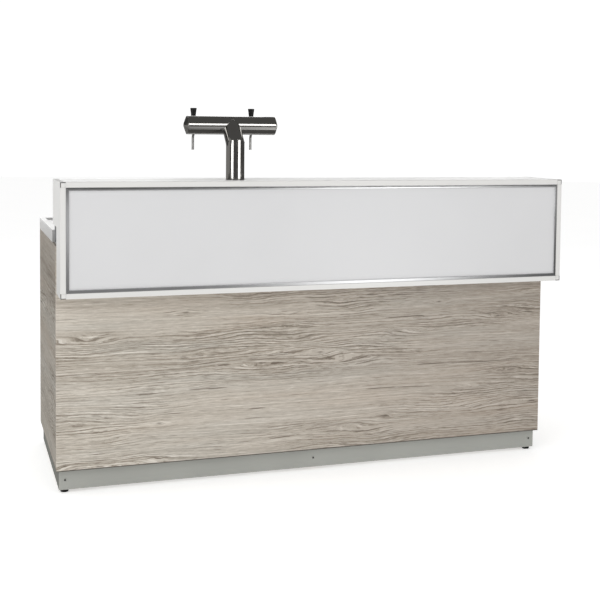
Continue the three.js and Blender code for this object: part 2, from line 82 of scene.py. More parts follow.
# ---- node material helper ------------------------------------------------------
class Mat:
    def __init__(self, name, rough=0.5, metal=0.0, **sockets):
        self.m = bpy.data.materials.new(name)
        self.m.use_nodes = True
        self.t = self.m.node_tree
        self.t.nodes.clear()
        out = self.t.nodes.new("ShaderNodeOutputMaterial")
        self.p = self.t.nodes.new("ShaderNodeBsdfPrincipled")
        self.t.links.new(self.p.outputs[0], out.inputs[0])
        self.p.inputs["Roughness"].default_value = rough
        self.p.inputs["Metallic"].default_value = metal
        for k, v in sockets.items():
            self.p.inputs[k.replace("_", " ")].default_value = v
        self.tc = self.t.nodes.new("ShaderNodeTexCoord")
        self.obj = self.tc.outputs["Object"]

    def put(self, sock, v):
        if isinstance(v, bpy.types.NodeSocket):
            self.t.links.new(v, sock)
        else:
            sock.default_value = v

    def math(self, op, a, b=None, c=None, clamp=False):
        n = self.t.nodes.new("ShaderNodeMath")
        n.operation = op
        n.use_clamp = clamp
        for s, v in zip(n.inputs, (a, b, c)):
            if v is not None:
                self.put(s, v)
        return n.outputs[0]

    def sep(self, v=None):
        n = self.t.nodes.new("ShaderNodeSeparateXYZ")
        self.put(n.inputs[0], v or self.obj)
        return n.outputs[0], n.outputs[1], n.outputs[2]

    def vec(self, x, y, z):
        n = self.t.nodes.new("ShaderNodeCombineXYZ")
        for s, v in zip(n.inputs, (x, y, z)):
            self.put(s, v)
        return n.outputs[0]

    def noise(self, v, scale=1.0, detail=3.0, rough=0.5, distortion=0.0):
        n = self.t.nodes.new("ShaderNodeTexNoise")
        self.put(n.inputs["Vector"], v)
        n.inputs["Scale"].default_value = scale
        n.inputs["Detail"].default_value = detail
        n.inputs["Roughness"].default_value = rough
        n.inputs["Distortion"].default_value = distortion
        return n.outputs["Fac"]

    def voronoi(self, v, scale=1.0, feature="F1", dims="3D"):
        n = self.t.nodes.new("ShaderNodeTexVoronoi")
        n.voronoi_dimensions = dims
        n.feature = feature
        self.put(n.inputs["Vector"], v)
        n.inputs["Scale"].default_value = scale
        return n.outputs["Distance"]

    def smooth(self, v, a, b, lo=0.0, hi=1.0):
        n = self.t.nodes.new("ShaderNodeMapRange")
        n.interpolation_type = "SMOOTHSTEP"
        self.put(n.inputs[0], v)
        for s, x in zip(n.inputs[1:5], (a, b, lo, hi)):
            s.default_value = x
        return n.outputs[0]

    def ramp(self, v, stops):
        n = self.t.nodes.new("ShaderNodeValToRGB")
        self.put(n.inputs[0], v)
        e = n.color_ramp.elements
        while len(e) > 1:
            e.remove(e[-1])
        for i, (pos, col) in enumerate(stops):
            k = e[0] if i == 0 else e.new(pos)
            k.position = pos
            k.color = (*col, 1.0)
        return n.outputs[0]

    def mix(self, f, a, b, mode="MIX"):
        n = self.t.nodes.new("ShaderNodeMix")
        n.data_type = "RGBA"
        n.blend_type = mode
        n.clamp_result = True
        self.put(n.inputs[0], f)
        for s, v in ((n.inputs[6], a), (n.inputs[7], b)):
            if isinstance(v, bpy.types.NodeSocket):
                self.t.links.new(v, s)
            else:
                s.default_value = (*v, 1.0) if len(v) == 3 else v
        return n.outputs[2]

    def edge(self, radius=0.0012):
        """1 along sharp outer edges, 0 on flat faces, broken up by a fine noise."""
        b = self.t.nodes.new("ShaderNodeBevel")
        b.samples = 4
        b.inputs["Radius"].default_value = radius
        g = self.t.nodes.new("ShaderNodeNewGeometry")
        d = self.t.nodes.new("ShaderNodeVectorMath")
        d.operation = "DOT_PRODUCT"
        self.t.links.new(b.outputs[0], d.inputs[0])
        self.t.links.new(g.outputs["True Normal"], d.inputs[1])
        k = self.smooth(d.outputs["Value"], 0.985, 0.86)
        return self.math("MULTIPLY", k, self.smooth(self.noise(self.obj, 90.0, 3.0, 0.6), 0.36, 0.60))

    def bump(self, h, strength=0.2, distance=0.001):
        n = self.t.nodes.new("ShaderNodeBump")
        n.inputs["Strength"].default_value = strength
        n.inputs["Distance"].default_value = distance
        self.put(n.inputs["Height"], h)
        self.t.links.new(n.outputs[0], self.p.inputs["Normal"])

    def color(self, v):
        self.put(self.p.inputs["Base Color"], v if isinstance(v, bpy.types.NodeSocket) else (*v, 1.0))

    def rough(self, v):
        self.put(self.p.inputs["Roughness"], v)


def srgb(r, g, b):
    return tuple(c / 12.92 if c <= 0.04045 else ((c + 0.055) / 1.055) ** 2.4 for c in (r / 255, g / 255, b / 255))


# ---- weathered oak decor -------------------------------------------------------
def wood(name, along, seed, knots, gain=1.0, fade=0.0):
    """Grain along one axis: u runs with the grain, v across it, both in metres."""
    m = Mat(name, 0.55, 0.0, Specular_IOR_Level=0.3)
    x, y, z = m.sep()
    u = x if along == "x" else y
    v = z

    def field(fu, fv, across, s, detail=3.0, rough=0.55):
        return m.noise(m.vec(m.math("MULTIPLY", u, fu), m.math("MULTIPLY", across, fv), seed + s), 1.0, detail, rough)

    def swing(n, k, base):
        return m.math("MULTIPLY_ADD", m.math("SUBTRACT", n, 0.5), k, base)

    # slow wander of the grain and the push around each knot
    vv = swing(field(0.7, 1.8, v, 0.0, 1.0, 0.45), 0.034, v)
    vv = swing(field(2.4, 9.0, v, 3.1, 2.0, 0.5), 0.0050, vv)
    core = halo = None
    for ku, kv, size in knots:
        du = m.math("DIVIDE", m.math("SUBTRACT", u, ku), 3.4 * size)
        dv = m.math("DIVIDE", m.math("SUBTRACT", v, kv), size)
        r2 = m.math("ADD", m.math("MULTIPLY", du, du), m.math("MULTIPLY", dv, dv))
        g = m.math("EXPONENT", m.math("MULTIPLY", r2, -0.45))
        vv = m.math("MULTIPLY_ADD", m.math("MULTIPLY", g, dv), -0.75 * size, vv)
        k = m.math("EXPONENT", m.math("MULTIPLY", r2, -14.0))
        core = k if core is None else m.math("MAXIMUM", core, k)
        halo = g if halo is None else m.math("MAXIMUM", halo, g)

    # figured patches where the grain folds into nested arcs, calm boards between them
    busy = m.smooth(field(1.0, 5.2, v, 27.0, 2.0, 0.5), 0.41, 0.57)
    if halo is not None:
        busy = m.math("MAXIMUM", busy, m.math("MULTIPLY", halo, 0.8))
    fold = m.math("MULTIPLY", busy, 0.074)
    vv = m.math("MULTIPLY_ADD", m.math("SUBTRACT", field(2.5, 15.0, v, 23.0, 1.0, 0.4), 0.5), fold, vv)
    ripple = m.math("MULTIPLY_ADD", busy, 0.0036, 0.0012)
    vv = m.math("MULTIPLY_ADD", m.math("SUBTRACT", field(26.0, 60.0, v, 6.4, 3.0, 0.6), 0.5), ripple, vv)

    # tone: boards, bands and streaks
    streak = field(1.0, 78.0, vv, 9.9, 2.0, 0.55)
    tone = swing(field(0.5, 5.5, vv, 1.7, 2.0, 0.5), 0.36, 0.5)
    tone = swing(field(0.8, 26.0, vv, 5.3, 2.0, 0.55), 0.26, tone)
    tone = swing(streak, 0.18, tone)
    # long thin grain lines, stronger in the figured patches
    fine = field(2.6, 230.0, vv, 14.2, 2.0, 0.6)
    amp = m.math("MULTIPLY_ADD", busy, 0.06, 0.08)
    tone = m.math("MULTIPLY_ADD", m.smooth(fine, 0.34, 0.66, -1.0, 1.0), amp, tone)
    # short pores: dark and pale dashes
    short = field(24.0, 300.0, vv, 18.8, 3.0, 0.65)
    amp = m.math("MULTIPLY_ADD", busy, 0.18, 0.16)
    tone = m.math("SUBTRACT", tone, m.math("MULTIPLY", m.smooth(short, 0.54, 0.68), amp))
    tone = m.math("MULTIPLY_ADD", m.smooth(short, 0.46, 0.32), 0.18, tone)
    # growth rings: dark late wood with a crisp outer edge
    slow = swing(field(7.0, 30.0, v, 25.0, 2.0, 0.5), 0.35, m.math("MULTIPLY", vv, 92.0))
    saw = m.math("FRACT", slow)
    ring = m.math("MULTIPLY", m.smooth(saw, 0.50, 0.94), m.smooth(saw, 0.94, 1.0, 1.0, 0.0))
    amp = m.math("MULTIPLY_ADD", busy, 0.30, 0.05)
    tone = m.math("SUBTRACT", tone, m.math("MULTIPLY", ring, amp))

    def c(r, gg, b):
        return (r * gain, gg * gain, b * gain)

    col = m.ramp(tone, [(0.10, c(0.225, 0.192, 0.152)), (0.30, c(0.372, 0.330, 0.276)), (0.46, c(0.478, 0.434, 0.374)),
                        (0.58, c(0.548, 0.504, 0.441)), (0.74, c(0.640, 0.600, 0.537)), (0.92, c(0.745, 0.712, 0.652))])
    # warm and cool drift
    drift = field(0.9, 9.0, vv, 12.0, 3.0, 0.55)
    col = m.mix(m.smooth(drift, 0.50, 0.72, 0.0, 0.34), col, c(0.520, 0.432, 0.348))
    col = m.mix(m.smooth(drift, 0.50, 0.30, 0.0, 0.34), col, c(0.452, 0.442, 0.404))

    # hairline checks: thin breaks that follow the grain, swell in the middle and taper out
    def hair(fv, gu, s, half, lo, hi):
        g = m.math("MULTIPLY", vv, fv)
        cell = m.math("FLOOR", g)
        key = m.math("MULTIPLY_ADD", cell, 5.17, seed + s)
        gate = m.smooth(m.noise(m.vec(m.math("MULTIPLY", u, gu), key, s), 1.0, 1.0, 0.5), lo, hi)
        drift = m.noise(m.vec(m.math("MULTIPLY", u, gu * 0.35), key, s + 3.0), 1.0, 1.0, 0.5)
        t = m.math("SUBTRACT", m.math("FRACT", g), m.math("MULTIPLY_ADD", drift, 0.8, 0.1))
        width = m.math("MULTIPLY_ADD", gate, half * fv, 0.0005)
        return m.math("MULTIPLY", m.smooth(m.math("DIVIDE", m.math("ABSOLUTE", t), width), 0.5, 1.3, 1.0, 0.0), m.smooth(gate, 0.02, 0.25))

    group = m.smooth(field(1.3, 6.0, v, 33.0, 2.0, 0.5), 0.38, 0.58, 0.15, 1.0)
    dense = m.math("MULTIPLY_ADD", busy, 0.65, 0.35)
    crack = m.math("MULTIPLY", hair(24.0, 6.0, 21.0, 0.0018, 0.54, 0.68), group)
    crack = m.math("MAXIMUM", crack, m.math("MULTIPLY", hair(60.0, 10.0, 41.0, 0.0012, 0.50, 0.66), dense))
    crack = m.math("MAXIMUM", crack, m.math("MULTIPLY", hair(120.0, 20.0, 51.0, 0.0010, 0.46, 0.62), m.math("MULTIPLY", dense, 0.62)))
    col = m.mix(m.math("MULTIPLY", crack, 0.88), col, c(0.135, 0.106, 0.079))
    # pale open pores and raised fibre
    pale = m.math("MAXIMUM", hair(40.0, 5.0, 61.0, 0.0013, 0.55, 0.70), m.math("MULTIPLY", hair(96.0, 16.0, 71.0, 0.0010, 0.50, 0.66), dense))
    col = m.mix(m.math("MULTIPLY", pale, 0.60), col, c(0.800, 0.762, 0.690))
    if core is not None:
        eye = m.math("MULTIPLY", core, swing(field(60.0, 90.0, v, 81.0, 2.0, 0.6), 1.2, 0.75))
        col = m.mix(m.math("MINIMUM", eye, 0.75), col, c(0.120, 0.094, 0.070))
    if fade:
        # the decor runs slightly darker towards one end of the board
        col = m.mix(m.smooth(u, -1.0, 1.0, 0.0, fade), col, (0.75, 0.725, 0.715), "MULTIPLY")
    # painted shade: the wood darkens towards the top, where the overhanging bar box shades it
    col = m.mix(m.smooth(z, 0.64, 0.715), col, (0.875, 0.862, 0.856), "MULTIPLY")
    # arrises rubbed a little paler
    col = m.mix(m.math("MULTIPLY", m.edge(), 0.40), col, c(0.70, 0.655, 0.585))
    # painted shade: a near-black band along the lower edge stands for the shadow line above the recessed plinth
    col = m.mix(m.smooth(z, 0.0893, 0.0905, 0.88, 0.0), col, (0.07, 0.062, 0.052))
    m.color(col)
    m.rough(m.smooth(tone, 0.2, 0.85, 0.64, 0.48))
    h = m.math("MULTIPLY_ADD", streak, 0.5, m.math("MULTIPLY", fine, 0.5))
    h = m.math("SUBTRACT", h, m.math("MULTIPLY", crack, 0.9))
    h = m.math("MULTIPLY_ADD", pale, 0.2, h)
    m.bump(h, 0.25, 0.0006)
    return m.m


def painted(name, col, rough, peel=260.0, amount=0.05, spec=0.5, dirt=0.04, low=1.0):
    """Sprayed or coated surface with orange peel and faint uneven tone; with low below 1, painted shade darkens it
    towards the bottom.
    """
    m = Mat(name, rough, 0.0, Specular_IOR_Level=spec)
    big = m.noise(m.obj, 3.5, 3.0, 0.5)
    fine = m.noise(m.obj, peel, 2.0, 0.5)
    dark = tuple(c * (1.0 - dirt) for c in col)
    light = tuple(min(1.0, c * (1.0 + dirt * 0.6)) for c in col)
    rub = m.edge()
    face = m.mix(m.math("MULTIPLY", rub, 0.30), m.ramp(big, [(0.3, dark), (0.5, col), (0.72, light)]), tuple(c * 0.80 for c in col))
    # painted shade: the colour darkens towards the bottom by the factor low
    if low < 1.0:
        face = m.mix(m.smooth(m.sep()[2], 1.05, 0.74), face, (low, low, low * 0.995), "MULTIPLY")
    m.color(face)
    r = m.math("ADD", m.smooth(fine, 0.3, 0.7, rough - 0.04, rough + 0.04), m.smooth(big, 0.3, 0.7, -0.03, 0.03))
    m.rough(m.math("MULTIPLY_ADD", rub, -0.08, r))
    m.bump(fine, amount, 0.0004)
    return m.m


def melamine(name, col, seed):
    """Light faced board with a very fine print and pearl texture."""
    m = Mat(name, 0.5, 0.0, Specular_IOR_Level=0.4)
    x, y, z = m.sep()
    lin = m.noise(m.vec(m.math("MULTIPLY", x, 6.0), m.math("MULTIPLY", y, 160.0), m.math("MULTIPLY", z, 160.0)), 1.0, 3.0, 0.55)
    big = m.noise(m.obj, 2.3, 2.0, 0.5)
    pearl = m.noise(m.obj, 900.0, 2.0, 0.5)
    tone = m.math("MULTIPLY_ADD", m.math("SUBTRACT", lin, 0.5), 0.7, m.math("MULTIPLY_ADD", m.math("SUBTRACT", big, 0.5), 0.5, 0.5))
    rub = m.edge(0.0016)
    face = m.ramp(tone, [(0.2, tuple(c * 0.90 for c in col)), (0.5, col), (0.8, tuple(min(1.0, c * 1.06) for c in col))])
    m.color(m.mix(m.math("MULTIPLY", rub, 0.45), face, tuple(c * 0.70 for c in col)))
    m.rough(m.math("MULTIPLY_ADD", rub, 0.12, m.smooth(pearl, 0.3, 0.7, 0.44, 0.56)))
    m.bump(pearl, 0.08, 0.0003)
    return m.m


def rawboard(name):
    """Particle board: pressed chips of mixed tone."""
    m = Mat(name, 0.85, 0.0, Specular_IOR_Level=0.2)
    chips = m.voronoi(m.obj, 220.0)
    n = m.noise(m.obj, 60.0, 4.0, 0.6)
    t = m.math("MULTIPLY_ADD", chips, 0.6, m.math("MULTIPLY", n, 0.6))
    m.color(m.ramp(t, [(0.25, (0.20, 0.145, 0.09)), (0.5, (0.36, 0.28, 0.19)), (0.8, (0.52, 0.43, 0.31))]))
    m.bump(t, 0.35, 0.0008)
    return m.m


def brushed(name, col, rough, axis, aniso=0.0, scratch=0.10, metal=1.0):
    """Brushed stainless: fine lines along one axis, cloudy wear."""
    m = Mat(name, rough, metal, Anisotropic=aniso)
    x, y, z = m.sep()
    s = {"x": (7.0, 1500.0, 1500.0), "y": (1500.0, 7.0, 1500.0), "z": (1500.0, 1500.0, 7.0)}[axis]
    lines = m.noise(m.vec(m.math("MULTIPLY", x, s[0]), m.math("MULTIPLY", y, s[1]), m.math("MULTIPLY", z, s[2])), 1.0, 3.0, 0.6)
    cloud = m.noise(m.obj, 6.0, 3.0, 0.55)
    t = m.math("MULTIPLY_ADD", m.math("SUBTRACT", cloud, 0.5), 0.45, 0.55)
    t = m.math("MULTIPLY_ADD", m.math("SUBTRACT", lines, 0.5), 0.8, t)
    m.color(m.ramp(t, [(0.25, tuple(c * 0.88 for c in col)), (0.55, col), (0.85, tuple(min(1.0, c * 1.07) for c in col))]))
    m.rough(m.math("ADD", m.smooth(lines, 0.25, 0.75, rough - 0.05, rough + 0.06), m.smooth(cloud, 0.35, 0.7, -0.03, 0.04)))
    m.bump(lines, scratch, 0.0002)
    return m.m


def polished(name, col, rough, smear=0.05):
    """Polished metal with faint hand marks in the gloss."""
    m = Mat(name, rough, 1.0)
    cloud = m.noise(m.obj, 22.0, 4.0, 0.6)
    fine = m.noise(m.obj, 480.0, 2.0, 0.5)
    m.color(m.ramp(cloud, [(0.3, tuple(c * 0.94 for c in col)), (0.7, col)]))
    m.rough(m.math("ADD", m.smooth(cloud, 0.35, 0.75, rough, rough + smear), m.smooth(fine, 0.3, 0.7, 0.0, 0.015)))
    m.bump(fine, 0.012, 0.0001)
    return m.m


def moulded(name, col, rough):
    """Moulded black plastic with a spark-eroded grain and rubbed highlights."""
    m = Mat(name, rough, 0.0, Specular_IOR_Level=0.34)
    grain = m.noise(m.obj, 1500.0, 2.0, 0.6)
    wear = m.noise(m.obj, 45.0, 4.0, 0.6)
    skin = m.ramp(wear, [(0.3, tuple(c * 0.7 for c in col)), (0.55, col), (0.85, tuple(c * 1.9 for c in col))])
    m.color(m.mix(m.math("MULTIPLY", m.edge(0.0008), 0.5), skin, tuple(c * 3.2 for c in col)))
    m.rough(m.smooth(wear, 0.3, 0.75, rough - 0.08, rough + 0.1))
    m.bump(grain, 0.15, 0.0003)
    return m.m


FRONT_KNOTS = [(-0.52, 0.655, 0.013), (0.02, 0.475, 0.012), (0.53, 0.655, 0.011), (-0.62, 0.24, 0.010),
               (0.80, 0.585, 0.013), (0.30, 0.20, 0.012)]
M_FRONT = wood("oak_decor_front", "x", 3.0, FRONT_KNOTS, 1.14, 1.0)
# the left end takes the oak at a far lower gain than the front: partly its own darker decor, partly painted shade on
# this end
M_SIDE_L = wood("oak_decor_end_left", "y", 17.0, [(-0.05, 0.68, 0.011), (0.22, 0.36, 0.010)], 0.77)
M_SIDE_R = wood("oak_decor_end_right", "y", 29.0, [(0.10, 0.55, 0.011), (-0.12, 0.28, 0.009)], 0.90)
M_BOARD = melamine("grey_faced_board", (0.56, 0.54, 0.51), 5.0)
M_RAW = rawboard("particle_board")
M_PLINTH = painted("plinth_grey_coat", srgb(170, 171, 165), 0.42, 420.0, 0.06, 0.45, 0.05)
# painted shade: the plinth ends take a darker copy of the plinth grey
M_PLINTH_END_SHADED = painted("plinth_grey_coat_end_painted_shade", srgb(128, 129, 123), 0.42, 420.0, 0.06, 0.45, 0.05)
M_WHITE = painted("white_powder_coat", (0.790, 0.783, 0.762), 0.36, 520.0, 0.05, 0.5, 0.02)
M_LAM = painted("white_laminate", (0.815, 0.812, 0.800), 0.40, 700.0, 0.03, 0.45, 0.02)
# painted light and shade: a lighter copy of the white laminate that darkens towards the bottom, for the end cheeks
M_CHEEK_PAINTED_SHADE = painted("white_laminate_end_painted_shade", (0.845, 0.842, 0.830), 0.40, 700.0, 0.03, 0.45, 0.02, 0.84)
M_PANEL = painted("light_satin_panel", (0.725, 0.725, 0.733), 0.44, 900.0, 0.015, 0.45, 0.012)
M_CHROME = polished("bright_chrome", (0.84, 0.845, 0.85), 0.17, 0.05)
M_STEEL = polished("polished_stainless", (0.47, 0.46, 0.442), 0.085, 0.05)
M_TOP = brushed("brushed_stainless_top", (0.78, 0.78, 0.775), 0.36, "x", 0.0, 0.06, 0.68)
M_SATIN = polished("satin_stainless", (0.50, 0.495, 0.48), 0.40, 0.02)
M_RAIL = painted("grey_coated_tube", (0.34, 0.345, 0.35), 0.42, 500.0, 0.05, 0.5, 0.06)
M_BLACK = moulded("black_moulded_plastic", (0.009, 0.009, 0.009), 0.44)
M_ZINC = brushed("dark_zinc_screw", (0.24, 0.235, 0.225), 0.38, "x", 0.0, 0.08)
M_GAP = painted("shadow_gap", (0.05, 0.05, 0.048), 0.7, 400.0, 0.03, 0.2, 0.1)


# ---- carried-over nodes: finish and broken edges --------------------------------
def dress(node, mat, bevel=0.0006, seg=2, angle=35.0):
    o = NODES[node]
    o.data.materials.clear()
    o.data.materials.append(mat)
    for p in o.data.polygons:
        p.material_index = 0
    if bevel:
        w = o.modifiers.new("weld", "WELD")
        w.merge_threshold = 0.00002
        b = o.modifiers.new("edges", "BEVEL")
        b.width = bevel
        b.segments = seg
        b.limit_method = "ANGLE"
        b.angle_limit = math.radians(angle)
        b.use_clamp_overlap = True
    return o


dress("front_panel", M_FRONT, 0.0007)
dress("side_panel_left", M_SIDE_L, 0.0007)
dress("side_panel_right", M_SIDE_R, 0.0007)
for n in ("bottom_panel", "centre_partition", "top_rail_front", "top_rail_rear",
          "shelf_left_lower", "shelf_left_upper", "shelf_right_lower", "shelf_right_upper"):
    dress(n, M_BOARD, 0.0008)
for n in ("base_bearer_left", "base_bearer_middle", "base_bearer_right", "worktop_core"):
    dress(n, M_RAW, 0.0008)
for n in ("plinth_front", "plinth_rear"):
    dress(n, M_PLINTH, 0.0005)
# plinth ends in the darker painted-shade copy of the grey
for n in ("plinth_left", "plinth_right"):
    dress(n, M_PLINTH_END_SHADED, 0.0005)
for n in ("frame_rail_top", "frame_rail_bottom", "frame_rail_left", "frame_rail_right"):
    dress(n, M_WHITE, 0.0006)
for n in ("bar_top", "bar_bottom", "bar_rear_cover"):
    dress(n, M_LAM, 0.0010)
# end cheeks in the painted light and shade copy of the laminate
for n in ("bar_cheek_left", "bar_cheek_right"):
    dress(n, M_CHEEK_PAINTED_SHADE, 0.0010)
dress("fascia_panel", M_PANEL, 0.0005)
dress("worktop_sheet", M_TOP, 0.0012, 3)
dress("drip_tray", M_TOP, 0.0006)
dress("drip_grid", M_TOP, 0.0005)
dress("bar_support_rail", M_RAIL, 0.0010)


# ---- mesh builders ---------------------------------------------------------------
def make(name, verts, faces, mat, body, *nodes, smooth=35.0, mats=None, slots=None):
    me = bpy.data.meshes.new(name)
    me.from_pydata([tuple(v) for v in verts], [], faces)
    bm = bmesh.new()
    bm.from_mesh(me)
    bmesh.ops.remove_doubles(bm, verts=bm.verts, dist=1e-7)
    bmesh.ops.recalc_face_normals(bm, faces=bm.faces)
    bm.to_mesh(me)
    bm.free()
    for x in (mats or [mat]):
        me.materials.append(x)
    if slots:
        for p, i in zip(me.polygons, slots):
            p.material_index = i
    for p in me.polygons:
        p.use_smooth = True
    me.set_sharp_from_angle(angle=math.radians(smooth))
    o = bpy.data.objects.new(name, me)
    bpy.context.scene.collection.objects.link(o)
    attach(o, body)
    if nodes:
        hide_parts(*nodes)
    return o


class Geo:
    """Collects closed shells in drawing millimetres."""

    def __init__(self):
        self.v, self.f, self.s = [], [], []

    def add(self, verts, faces, slot=0):
        k = len(self.v)
        self.v += [P(*p) for p in verts]
        self.f += [[i + k for i in f] for f in faces]
        self.s += [slot] * len(faces)

    def rings(self, rings, cap=True, closed=False, slot=0):
        n = len(rings[0])
        v = [p for r in rings for p in r]
        f = []
        m = len(rings)
        for i in range(m if closed else m - 1):
            for j in range(n):
                a, b = i * n + j, i * n + (j + 1) % n
                c, d = ((i + 1) % m) * n + (j + 1) % n, ((i + 1) % m) * n + j
                f.append([a, b, c, d])
        if cap and not closed:
            f.append(list(range(n))[::-1])
            f.append([(m - 1) * n + j for j in range(n)])
        self.add(v, f, slot)

    def lathe(self, prof, at, axis, seg=64, closed=False, slot=0, start=0.0):
        ax = {"x": ((1, 0, 0), (0, 1, 0), (0, 0, 1)), "y": ((0, 1, 0), (0, 0, 1), (1, 0, 0)),
              "z": ((0, 0, 1), (1, 0, 0), (0, 1, 0))}[axis] if isinstance(axis, str) else axis
        d, a, b = (Vector(t) for t in ax)
        o = Vector(at)
        rings = []
        for r, h in prof:
            rings.append([o + d * h + (a * math.cos(start + 2 * math.pi * j / seg) + b * math.sin(start + 2 * math.pi * j / seg)) * max(r, 1e-4)
                          for j in range(seg)])
        self.rings(rings, True, closed, slot)

    def sweep(self, path, radius, seg=24, closed=False, slot=0):
        pts = [Vector(p) for p in path]
        n = len(pts)
        rings = []
        ref = None
        for i in range(n):
            a = pts[(i - 1) % n] if (closed or i) else pts[0]
            b = pts[(i + 1) % n] if (closed or i < n - 1) else pts[-1]
            t = (b - a).normalized()
            if ref is None:
                ref = t.orthogonal().normalized()
            ref = (ref - t * ref.dot(t)).normalized()
            w = t.cross(ref)
            r = radius[i] if isinstance(radius, (list, tuple)) else radius
            rings.append([pts[i] + (ref * math.cos(2 * math.pi * j / seg) + w * math.sin(2 * math.pi * j / seg)) * r for j in range(seg)])
        self.rings(rings, True, closed, slot)

    def block(self, x0, x1, y0, y1, z0, z1, slot=0):
        v = [(x, y, z) for x in (x0, x1) for y in (y0, y1) for z in (z0, z1)]
        self.add(v, [[0, 1, 3, 2], [4, 6, 7, 5], [0, 4, 5, 1], [2, 3, 7, 6], [0, 2, 6, 4], [1, 5, 7, 3]], slot)


# ---- tap column: upright, mitred neck, crossbar with capped ends -------------------
def column():
    g = Geo()
    seg = 96
    r = TUBE_R
    tan = math.tan(math.pi / 8)
    ang = [2 * math.pi * j / seg for j in range(seg)]
    base = BAR_Z1 + 0.3

    def up(z, rr=r):
        return [Vector((COL_X + rr * math.cos(a), COL_Y + rr * math.sin(a), z)) for a in ang]

    mitre = [Vector((COL_X + r * math.cos(a), COL_Y + r * math.sin(a), MITRE_Z - tan * r * math.sin(a))) for a in ang]
    d = Vector((0, math.sin(math.pi / 4), math.cos(math.pi / 4)))
    nrm = Vector((0, math.cos(math.pi / 4), -math.sin(math.pi / 4)))
    axis = Vector((COL_X, CROSS_Y, CROSS_Z))
    saddle, inner = [], []
    for a in ang:
        b = r * math.sin(a)
        c = axis + Vector((1, 0, 0)) * r * math.cos(a) + nrm * b
        t = math.sqrt(max(r * r - b * b, 0.0))
        saddle.append(c - d * t)
        inner.append(c - d * (t - min(t, 6.0)))
    rings = [up(base + 0.0, r - 0.8), up(base + 0.8)]
    for k in range(1, 9):
        rings.append([p.lerp(q, k / 9) for p, q in zip(up(base + 0.8), mitre)])
    rings.append(mitre)
    for k in range(1, 4):
        rings.append([p.lerp(q, k / 4) for p, q in zip(mitre, saddle)])
    rings.append(saddle)
    rings.append([p + (axis - p) * 0.12 for p in saddle])
    g.rings(rings)
    # polished weld seams
    g.sweep(mitre, 0.55, 8, True)
    g.sweep([p for p in saddle], 0.8, 8, True)
    # crossbar, its caps set off by a fine groove
    h = CROSS_LEN / 2
    prof = [(0.0, -h), (7.6, -h), (8.8, -h + 0.15), (10.0, -h + 0.6), (34.0, -h + 10.7), (34.7, -h + 11.1), (r, -h + 11.7),
            (r, -h + 12.6), (r - 0.5, -h + 13.0), (r - 0.5, -h + 13.6), (r, -h + 14.0)]
    prof = prof + [(r, -60.0), (r, 0.0), (r, 60.0)] + [(a, -b) for a, b in reversed(prof)]
    g.lathe(prof, (COL_X, CROSS_Y, CROSS_Z), "x", seg)
    # threaded tail under the bar top
    tail = [(21.0, -40.0), (24.2, -40.0)]
    z = -39.0
    while z < -1.5:
        tail += [(25.0, z), (24.3, z + 0.7)]
        z += 1.5
    tail += [(24.3, 0.6), (21.0, 0.6)]
    g.lathe(tail, (COL_X, COL_Y, BAR_Z1), "z", 64, True)
    make("tap_column_tube", g.v, g.f, M_STEEL, "counter", "tap_column")


column()


def nut():
    g = Geo()
    prof = [(25.4, 0.0), (36.6, 0.0), (37.8, 1.0), (37.8, 11.0), (36.6, 12.0), (25.4, 12.0)]
    g.lathe(prof, (COL_X, COL_Y, BAR_Z1 - 18 - 0.3 - 12), "z", 6, True, 0)
    g.lathe([(25.5, 12.01), (31.0, 12.01), (31.0, 12.2), (25.5, 12.2)], (COL_X, COL_Y, BAR_Z1 - 18 - 0.3 - 12), "z", 48, True, 0)
    make("column_nut", g.v, g.f, M_ZINC, "counter", "column_lock_nut")


nut()


# ---- taps ------------------------------------------------------------------------
def boolean(o, cutter):
    m = o.modifiers.new("slot", "BOOLEAN")
    m.operation = "DIFFERENCE"
    m.solver = "EXACT"
    m.object = cutter
    dg = bpy.context.evaluated_depsgraph_get()
    me = bpy.data.meshes.new_from_object(o.evaluated_get(dg))
    o.modifiers.clear()
    o.data = me
    bpy.data.objects.remove(cutter, do_unlink=True)
    for p in me.polygons:
        p.use_smooth = True
    me.set_sharp_from_angle(angle=math.radians(35))


def loose(name, g):
    me = bpy.data.meshes.new(name)
    me.from_pydata([tuple(v) for v in g.v], [], g.f)
    bm = bmesh.new()
    bm.from_mesh(me)
    bmesh.ops.recalc_face_normals(bm, faces=bm.faces)
    bm.to_mesh(me)
    bm.free()
    o = bpy.data.objects.new(name, me)
    bpy.context.scene.collection.objects.link(o)
    return o


